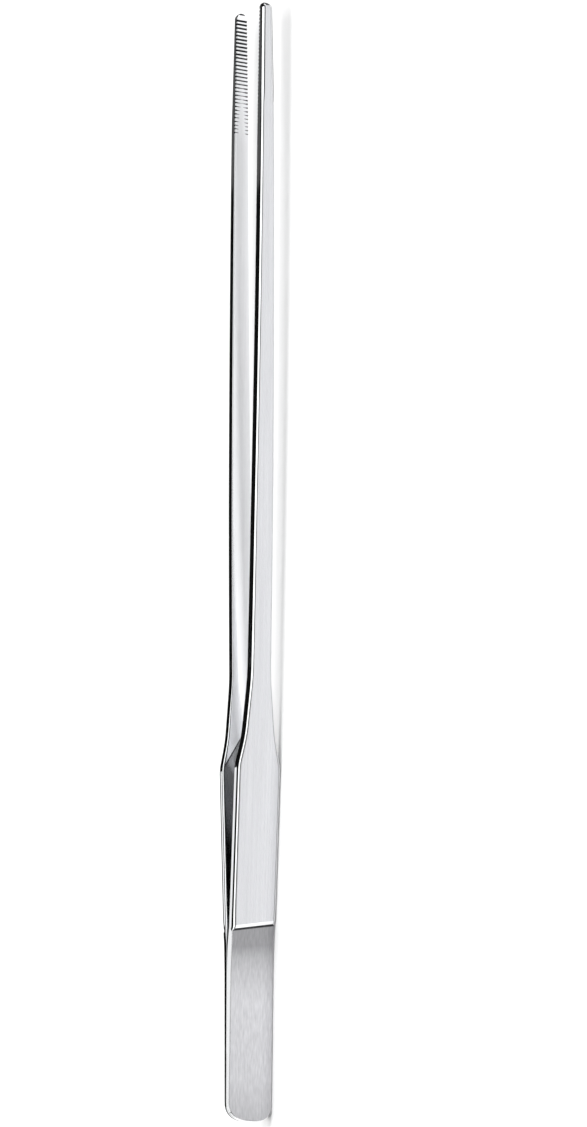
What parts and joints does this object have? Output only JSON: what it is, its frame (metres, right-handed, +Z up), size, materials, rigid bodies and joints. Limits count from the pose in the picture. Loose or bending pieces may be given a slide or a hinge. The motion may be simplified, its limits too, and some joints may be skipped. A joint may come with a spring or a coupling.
{
  "type": "aquascaping tweezers",
  "caption": "Long straight stainless tweezers with a wide flat handle, slim spreading legs and cross-grooved jaws.",
  "frame": {"origin": "centre of the bottom of the tweezers' box as they lie on one edge", "axes": "+X from the butt to the tips, Y across the spread of the two arms with the front arm at -Y, +Z up across the width of the arms"},
  "size_m": [0.27, 0.0148, 0.0119],
  "materials": {
    "arm_steel": "fine lengthwise brush, edges polished",
    "tail_steel": "ground, coarser lengthwise brush",
    "weld_steel": "fusion weld ground flush"
  },
  "bodies": {
    "butt": {"front_tail": "tail_steel", "back_tail": "tail_steel", "butt_weld": "weld_steel"},
    "front_arm": {"front_arm": "arm_steel"},
    "back_arm": {"back_arm": "arm_steel"}
  },
  "joints": [
    {"name": "front_arm_flex", "type": "hinge", "parent": "butt", "child": "front_arm", "pos_m": [-0.098, -0.00081, 0.00595], "axis": [0, 0, 1], "range_deg": [0, 1.29], "stiffness_Nm_per_rad": 13},
    {"name": "back_arm_flex", "type": "hinge", "parent": "butt", "child": "back_arm", "pos_m": [-0.098, 0.00081, 0.00595], "axis": [0, 0, -1], "range_deg": [0, 1.29], "stiffness_Nm_per_rad": 13}
  ],
  "couplings": [
    {"joint": "back_arm_flex", "follows": "front_arm_flex", "ratio": 1}
  ]
}
